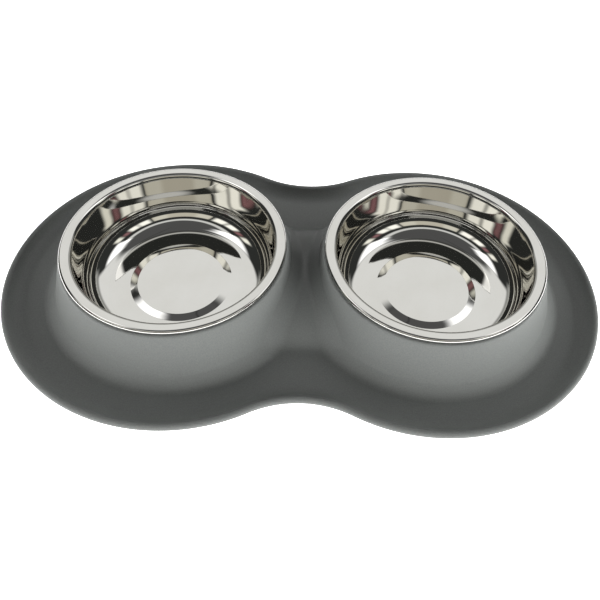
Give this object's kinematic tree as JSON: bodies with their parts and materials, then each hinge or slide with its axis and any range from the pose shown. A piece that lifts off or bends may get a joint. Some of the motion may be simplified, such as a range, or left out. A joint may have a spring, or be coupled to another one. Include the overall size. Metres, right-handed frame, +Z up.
{
  "type": "double pet bowl",
  "caption": "Figure-eight silicone feeding mat with a raised spill lip and round hollow pedestals, each holding a lift-out polished steel bowl with a rolled rim.",
  "frame": {"origin": "on the surface that the mat lies on, midway between the axes of the bowls", "axes": "+X from the left bowl to the right bowl, +Y to the rear as pictured, +Z up"},
  "size_m": [0.3884, 0.2242, 0.041],
  "materials": {
    "silicone": "matte",
    "steel": "mirror polished"
  },
  "bodies": {
    "mat": {"silicone_mat": "silicone"},
    "left_bowl": {"left_bowl": "steel"},
    "right_bowl": {"right_bowl": "steel"}
  },
  "joints": [
    {"name": "left_bowl_lift", "type": "slide", "parent": "mat", "child": "left_bowl", "axis": [0, 0, 1], "range_m": [0, 0.06]},
    {"name": "right_bowl_lift", "type": "slide", "parent": "mat", "child": "right_bowl", "axis": [0, 0, 1], "range_m": [0, 0.06]}
  ]
}
